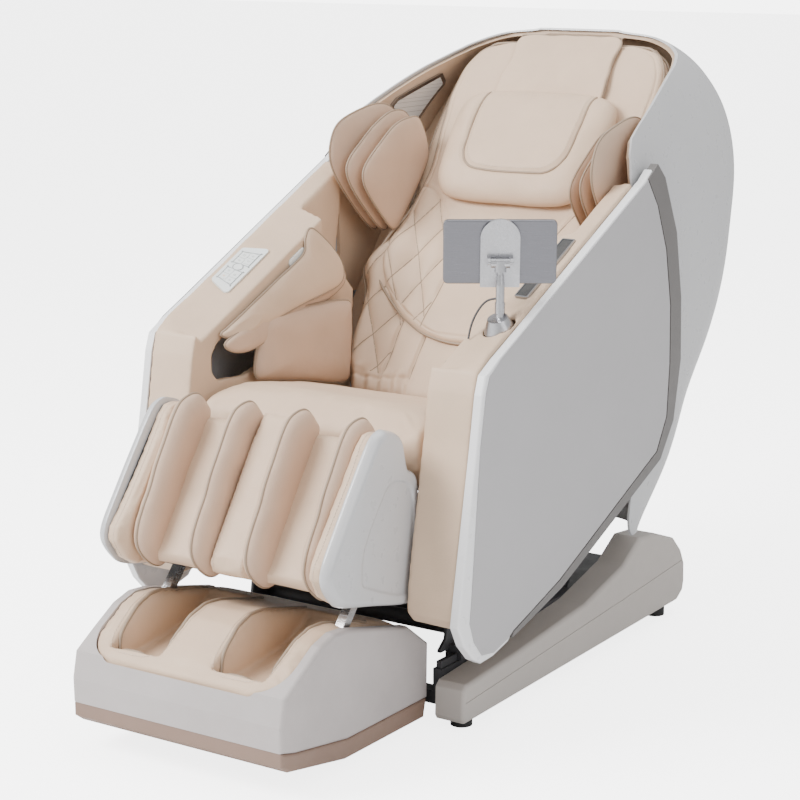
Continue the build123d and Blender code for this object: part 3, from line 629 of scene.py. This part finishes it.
def width_at(rows, v, margin):
    """Half width of a panel at v, less a margin, and nothing beyond its ends."""
    return np.interp(v, [r[0] for r in rows], [r[1] for r in rows], left=0, right=0) - margin


quilt_v = np.arange(30.0, 540.0, 4.0)
quilt_lines = [(QUILT[0] * (2 * k - way * quilt_v / QUILT[1]), quilt_v)
               for way in (1, -1) for k in range(-9, 10)]
seam_lines = [(np.full_like(quilt_v, side * seam), quilt_v) for side in (1, -1) for seam in SEAM_X]
cover_lines = [(side * (92 - (quilt_v - 180) * 0.13), quilt_v) for side in (1, -1)]


def on_quilted_pad(u, v):
    x = np.abs(u)
    return (x > 152) & (x < width_at(BACK_ROWS, v, 16)) & (v > 48) & (v < 514)


def on_seamed_pad(u, v):
    return (v > 44) & (v < 296)


def on_quilted_cover(u, v):
    x = np.abs(u)
    arc = np.hypot((x - 250) / 118, (v - 400) / 104)
    side = (arc < 0.98) | ((x > 94 - (v - 180) * 0.1) & (v < 404))
    return side & (x < width_at(HEM, v, 14))


def on_seamed_cover(u, v):
    return (v > 150) & (v < 404) & (np.abs(u) < width_at(HEM, v, 14))


# thin tubes of the dark piping leather along the quilt lines and upright seams: painted shade in the sewn
# grooves
quilt_shade_lines = (sewn(back_pad, quilt_lines, on_quilted_pad) + sewn(back_pad, seam_lines, on_seamed_pad)
              + sewn(cover, quilt_lines, on_quilted_cover) + sewn(cover, cover_lines, on_seamed_cover))
piping("back_quilt_painted_shade", quilt_shade_lines, "back", closed=False, radius=0.9)


def outline_of(rows, count=260):
    """Closed (u, v) outline from symmetric rows."""
    right = [(w, v) for v, w in rows]
    return curve_through(right + [(-w, v) for w, v in right[::-1]], count)


hem = outline_of(HEM)
hem_x = np.abs(hem[:, 0])
hem_out = 3 + 22 * smooth((hem_x - 160) / 90) * smooth((470 - hem[:, 1]) / 120)
piping("back_piping", [on_back(hem[:, 0], hem[:, 1], hem_out)], "back", radius=3.2)
upper_edge = curve_through([(w, v) for v, w in BACK_ROWS if v > 160]
                           + [(-w, v) for v, w in BACK_ROWS[::-1] if v > 160], 240, closed=False)
upper_out = 12 * smooth((np.abs(upper_edge[:, 0]) - 200) / 60) * smooth((470 - upper_edge[:, 1]) / 120)
upper_out = upper_out - 12
piping("back_edge_piping", [on_back(upper_edge[:, 0] * 1.004, upper_edge[:, 1], upper_out)], "back",
       closed=False, radius=3.2)

# pillow with a U-shaped centre panel, hanging from a flap
PILLOW = [(0, 463), (100, 464), (156, 478), (183, 520), (192, 600), (191, 680), (172, 722), (120, 740),
          (0, 744), (-120, 740), (-172, 722), (-191, 680), (-192, 600), (-183, 520), (-156, 478),
          (-100, 464)]
PILLOW_U = [(-130, 733), (-131, 680), (-129, 600), (-122, 560), (-98, 532), (-50, 524), (50, 524),
            (98, 532), (122, 560), (129, 600), (131, 680), (130, 733)]
PILLOW_SEAM, PILLOW_FRONT, PILLOW_BACK = 30, 36, 22


def pillow_place(u, v, h):
    return on_back(u, v, PILLOW_SEAM + h)


u_line = curve_through(PILLOW_U, 120, closed=False)


def pillow_relief(u, v, d):
    gap = np.min(np.hypot(u[:, None] - u_line[:, 0], v[:, None] - u_line[:, 1]), 1)
    return -6.0 * groove(gap, 7.0) + 1.6 * waves(u * 1.2, v * 0.35, 60, 12) * smooth((v - 640) / 80)


pillow = pad("head_cushion", PILLOW, ((-110, 604), (110, 604)), pillow_place, PILLOW_FRONT, PILLOW_BACK,
             "back", replaces=("head_pillow",), fill=0.7, count=220, rings=40, detail=pillow_relief,
             pipe=0)
pillow_tree = tree_of(pillow)
u_pipe = cast(pillow_tree, on_back(u_line[:, 0], u_line[:, 1], 140), INTO_BACK, 0.8)
u_inner = cast(pillow_tree, on_back(u_line[:, 0] * 0.93, u_line[:, 1] + 9, 140), INTO_BACK, 0.4)
piping("pillow_piping", [u_pipe], "back", closed=False, radius=2.6)
stitches("pillow_stitching", [u_inner], "back")

FLAP_AT = (716, 745, 790, 840, 880, 904)     # places up the back where the flap's faces are given
FLAP_FRONT, FLAP_REAR = (20, 26, 29, 25, 23, 20), (12, 16, 18, 16, 14, 12)
FLAP_HEM = (16, 22, 25, 21, 20, 18)
FLAP = [(716, 128), (745, 132), (790, 129), (840, 124), (880, 128), (897, 122), (904, 104)]


def flap_relief(u, v, d):
    hang = np.interp(v, FLAP_AT, FLAP_FRONT)
    sag = -5 * np.exp(-((u - 20) / 70) ** 2 - ((v - 800) / 40) ** 2)
    return hang + 3 * puff(d, 8) + sag + 1.6 * waves(u, v, 90, 21)


def flap_place(u, v, h):
    base = np.interp(v, FLAP_AT, FLAP_REAR)
    return on_back(u, v, np.where(h < -0.5, base, h))


panel("pillow_flap", FLAP, flap_place, flap_relief, "back", columns=80, lines=70, depth=1)
flap_edge = [(-u, v) for v, u in FLAP] + [(u, v) for v, u in FLAP[::-1]]
flap_line = curve_through(flap_edge, 120, closed=False)
flap_out = np.interp(flap_line[:, 1], FLAP_AT, FLAP_HEM)
piping("flap_hem", [on_back(flap_line[:, 0], flap_line[:, 1], flap_out)], "back", closed=False,
       radius=2.0)

# ---------------------------------------------------------------- shoulder airbags
LEAVES = (
    (251, ((622, 92), (598, 128), (556, 160), (500, 180), (440, 196), (408, 192), (390, 160), (380, 90),
           (378, 34), (400, 16), (500, 8), (570, 10), (602, 40))),
    (279, ((626, 108), (596, 152), (540, 184), (480, 204), (433, 216), (404, 208), (386, 166), (376, 90),
           (376, 30), (400, 12), (500, 6), (590, 12), (616, 50))),
    (307, ((628, 118), (606, 166), (548, 220), (492, 256), (448, 256), (412, 232), (392, 180), (378, 90),
           (378, 26), (400, 10), (500, 6), (596, 12), (624, 60))),
)
for side, word in ((1, "left"), (-1, "right")):
    for i, (x, outline) in enumerate(LEAVES):
        def leaf_place(u, v, h, x=x, side=side):
            fan = 0.05 * (v - 20)
            return on_back(side * (x - 6 + fan * (0.4 + 0.3 * i) - h), u, v)
        pad("shoulder_airbag_%s_%d" % (word, i + 1), outline, ((450, 100), (560, 90)), leaf_place, 10, 10,
            "back", "airbag", ("shoulder_pad_" + word,) if i == 0 else (), seed=20 + i, count=130,
            rings=18, pipe=2.2)

# ---------------------------------------------------------------- arms, hips, seat
for word in ("left", "right"):
    softened("arm_cover_" + word, "armrest_" + word, 5.0, 5, "seat", crease=0.5)

FLAP_ARM = [(-318, 694), (-288, 682), (-234, 684), (-179, 697), (-123, 709), (-66, 722), (-8, 732),
            (46, 742), (72, 758), (76, 782), (64, 808), (35, 840), (-2, 866), (-24, 848), (-36, 820),
            (-80, 797), (-125, 778), (-187, 750), (-252, 722), (-300, 702)]
FLAP_LOW = [(-322, 676), (-296, 658), (-240, 654), (-150, 672), (-60, 694), (40, 716), (96, 738),
            (104, 762), (60, 776), (-60, 752), (-180, 716), (-280, 692)]
HIP = [(-150, 712), (-190, 700), (-204, 670), (-222, 620), (-222, 596), (-200, 586), (-80, 566), (20, 544),
       (60, 542), (72, 560), (88, 640), (94, 690), (82, 706), (0, 712)]
for side, word in ((1, "left"), (-1, "right")):
    def arm_place(u, v, h, side=side):
        top = np.interp(u, (-318, -200, 0, 80), (706, 744, 838, 850))
        return spot(side * (262 - 0.24 * (top - v) - h), u, v)

    def low_place(u, v, h, side=side):
        return spot(side * (262 - 0.16 * (770 - v) - h), u, v)

    def hip_place(u, v, h, side=side):
        return spot(side * (243 - 0.06 * (u + 60) + 0.10 * (v - 640) - h), u, v)
    pad("arm_flap_" + word, FLAP_ARM, ((-200, 716), (10, 788)), arm_place, 8, 7, "seat",
        replaces=("arm_pad_" + word,), seed=31, pipe=2.6, fill=0.4)
    pad("arm_underflap_" + word, FLAP_LOW, ((-230, 680), (40, 742)), low_place, 6, 5, "seat", "airbag",
        seed=35, pipe=2.0, fill=0.3)
    pad("hip_cushion_" + word, HIP, ((-100, 640), (0, 630)), hip_place, 19, 14, "seat", "airbag",
        ("hip_pad_" + word,), seed=38, pipe=3.0, fill=0.7)

SEAT_HELD = 0.475                            # the seat's cloth is held below this height, in metres
softened("seat_upholstery", "seat_cushion", 6.0, 8, "seat", swell=4.0, cap=14.0,
         keep=lambda c: c[2] < SEAT_HELD)


# ---------------------------------------------------------------- leg rest
calf = softened("calf_upholstery", "calf_cushion", 4.5, 6, "leg_rest", swell=3.0, cap=5.0,
                crease=0.6)
FIN = [(-450, 566), (-456, 592), (-482, 615), (-522, 611), (-549, 588), (-580, 540), (-604, 502),
       (-622, 465), (-644, 430), (-660, 398), (-664, 368), (-648, 338), (-612, 312), (-580, 318),
       (-540, 380), (-490, 468)]
for number, x in enumerate((-190, -62, 62, 190)):
    def fin_place(u, v, h, x=x):
        return spot(x + h, u, v)
    pad("calf_airbag_%d" % (number + 1), FIN, ((-610, 380), (-500, 560)), fin_place, 21, 21, "leg_rest",
        "airbag", ("calf_fins",) if number == 0 else (), seed=50 + number, count=170, rings=24, pipe=2.6,
        fill=0.7)

CAP = [(-500, 605), (-520, 606), (-548, 590), (-600, 524), (-650, 455), (-686, 402), (-692, 368),
       (-668, 332), (-636, 312), (-540, 290), (-440, 268), (-414, 276), (-409, 300), (-405, 400),
       (-403, 480), (-412, 508), (-436, 524), (-450, 556), (-464, 590)]
CAP_RECESS = [(-468, 507), (-504, 506), (-531, 480), (-580, 412), (-590, 358), (-573, 334), (-430, 292),
              (-424, 400), (-430, 480)]
recess = curve_through(CAP_RECESS, 90)


def inside(u, v, ring):
    """How far inside a closed outline each point lies, negative outside."""
    gap = np.min(np.hypot(u[:, None] - ring[:, 0], v[:, None] - ring[:, 1]), 1)
    a, b = ring, np.roll(ring, -1, 0)
    over = (a[:, 1] > v[:, None]) != (b[:, 1] > v[:, None])
    rise = np.where(np.abs(b[:, 1] - a[:, 1]) < 1e-9, 1e-9, b[:, 1] - a[:, 1])
    left = u[:, None] < (b[:, 0] - a[:, 0]) * (v[:, None] - a[:, 1]) / rise + a[:, 0]
    return np.where(np.sum(over & left, 1) % 2 == 1, gap, -gap)


def cap_relief(u, v, d):
    """Shallow recess in the calf cap's outer face."""
    return -3.5 * smooth(inside(u, v, recess) / 9 + 0.5)


for side, word in ((1, "left"), (-1, "right")):
    def cap_place(u, v, h, side=side):
        return spot(side * (243 + h), u, v)
    pad("calf_shell_" + word, CAP, ((-600, 380), (-480, 500)), cap_place, 20, 1.5, "leg_rest",
        "pearl_white", ("calf_cap_" + word,), None, count=220, rings=60, pucker=0, detail=cap_relief,
        pipe=0, roll=16)

calf_tree = tree_of(calf)
KNEE_OUT = (0, 0.83, -0.56)
CALF_RUN = [(-560, 690), (-640, 640), (-700, 560), (-745, 480), (-775, 410), (-790, 360)]
lines = []
for x in (-225, -31, 31, 225):
    run = curve_through(CALF_RUN, 120, closed=False)
    hit = cast(calf_tree, spot(x, run[:, 0], run[:, 1]), KNEE_OUT, 0.5)
    if len(hit) > 20:
        lines.append(hit)
stitches("calf_stitching", lines, "leg_rest")

# ---------------------------------------------------------------- foot rest
foot = softened("foot_upholstery", "foot_cushion", 4.5, 7, "foot_rest", swell=3.0, cap=4.0,
                crease=0.6)
foot_tree = tree_of(foot)
WELL_MID, WELL_HALF, STITCH_GAP = 117, 67, 9
WELL_EDGE = [(50, -470), (50, -560), (54, -680), (62, -742), (84, -762), (118, -766), (152, -762),
             (172, -742), (180, -680), (184, -560), (184, -470)]
pipes, threads = [], []
for side in (1, -1):
    for grow, into in ((0, pipes), (STITCH_GAP, threads)):
        line = [(WELL_MID + (x - WELL_MID) * (1 + grow / WELL_HALF), y - (grow if y < -700 else 0))
                for x, y in WELL_EDGE]
        line = curve_through(line, 150, closed=False)
        top = cast(foot_tree, spot(side * line[:, 0], line[:, 1], 400), (0, 0, -1), 0.8)
        if len(top) > 20:
            into.append(top)
piping("foot_well_piping", pipes, "foot_rest", closed=False, radius=3.8)
stitches("foot_stitching", threads, "foot_rest")


# ---------------------------------------------------------------- keypad
SLOPE, TILT = math.radians(25.5), math.radians(16)
KEY_MID = np.array((-326, -174, 803))
KEY_AHEAD = np.array((0, -math.cos(SLOPE), -math.sin(SLOPE)))
KEY_UP = np.array((math.sin(TILT), -math.sin(SLOPE) * math.cos(TILT), math.cos(SLOPE) * math.cos(TILT)))
KEY_SIDE = np.cross(KEY_UP, KEY_AHEAD)


KEY_RING, MARK_LIFT = 10.6, 0.0022           # round key's outline in mm, marks above a key's middle in m


def on_keypad(a, b, up):
    """Place ahead of, beside and above the middle of the keypad's face."""
    p = KEY_MID + np.multiply.outer(a, KEY_AHEAD) + np.multiply.outer(b, KEY_SIDE) \
        + np.multiply.outer(np.full_like(np.asarray(a, float), up), KEY_UP)
    return spot(p[..., 0], p[..., 1], p[..., 2])


def keypad_marks():
    """Dark outlines round the two key groups and the round key, and a plain raised mark on each key."""
    loops = []
    for g in (-1, 1):
        group = [(g * 11, 18), (g * 56, 18), (g * 46, -18), (g * 9, -18)]
        line = curve_through([p for q in group for p in (q, q)], 90)
        loops.append(on_keypad(line[:, 0], line[:, 1], 0.5))
    turn = np.linspace(0, 2 * math.pi, 60, endpoint=False)
    loops.append(on_keypad(KEY_RING * np.cos(turn), KEY_RING * np.sin(turn), 0.6))
    piping("keypad_outlines", loops, "seat", "icon_grey", 0.8)
    for i in range(8):
        lo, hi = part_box("key_%d" % (i + 1))
        mid = 0.5 * (np.array(lo) + np.array(hi)) + KEY_UP * MARK_LIFT
        turn = np.linspace(0, 2 * math.pi, 18, endpoint=False)
        across = np.outer(np.cos(turn), KEY_AHEAD) + np.outer(np.sin(turn), KEY_SIDE)
        piping("key_mark_%d" % (i + 1), [mid + across * (0.0018 + 0.0003 * (i % 3))], "key_%d" % (i + 1),
               "icon_orange" if i == 6 else "icon_grey", 0.35)


keypad_marks()


# ---------------------------------------------------------------- stage and light
def seen_brighter(holder, socket, light, extra):
    """Studio white that looks brighter to the camera than it lights the chair."""
    tree = holder.node_tree
    path, gain = tree.nodes.new("ShaderNodeLightPath"), tree.nodes.new("ShaderNodeMath")
    gain.operation = "MULTIPLY_ADD"
    gain.inputs[1].default_value, gain.inputs[2].default_value = extra, light
    tree.links.new(path.outputs["Is Camera Ray"], gain.inputs[0])
    tree.links.new(gain.outputs[0], socket)


FLOOR = 30                                   # half the floor's side in metres


def stage():
    """White floor and white surroundings."""
    mesh = bpy.data.meshes.new("floor")
    corners = [(-FLOOR, -FLOOR, 0), (FLOOR, -FLOOR, 0), (FLOOR, FLOOR, 0), (-FLOOR, FLOOR, 0)]
    mesh.from_pydata(corners, [], [(0, 1, 2, 3)])
    floor = bpy.data.objects.new("floor", mesh)
    bpy.context.scene.collection.objects.link(floor)
    m = shader("floor_pale", (0.96, 0.96, 0.96), 0.6)
    vary(m, noise(m, 2, 2), (0.955, 0.955, 0.955), (0.965, 0.965, 0.965))
    m.node_tree.nodes["Principled BSDF"].inputs["Emission Color"].default_value = (1, 1, 1, 1)
    seen_brighter(m, m.node_tree.nodes["Principled BSDF"].inputs["Emission Strength"], 0.0, 4.0)
    mesh.materials.append(m)
    world = bpy.data.worlds.new("studio")
    bpy.context.scene.world = world
    world.use_nodes = True
    world.node_tree.nodes["Background"].inputs[0].default_value = (1, 1, 1, 1)
    seen_brighter(world, world.node_tree.nodes["Background"].inputs[1], 0.8, 5.0)


def area(name, place, target, size, power):
    """Square soft light aimed at a point."""
    data = bpy.data.lights.new(name, "AREA")
    data.shape = "RECTANGLE"
    data.size = data.size_y = size
    data.energy = power
    o = bpy.data.objects.new(name, data)
    bpy.context.scene.collection.objects.link(o)
    o.location = place
    o.rotation_euler = (Vector(target) - Vector(place)).to_track_quat("-Z", "Y").to_euler()


stage()
area("key_light", (-2.2, -3.0, 3.4), (0, 0, 0.6), 2.2, 330)
area("fill_light", (3.6, -1.6, 2.4), (0, 0, 0.6), 2.6, 55)
area("top_light", (0.2, 0.8, 4.2), (0, 0, 0.8), 3.0, 80)
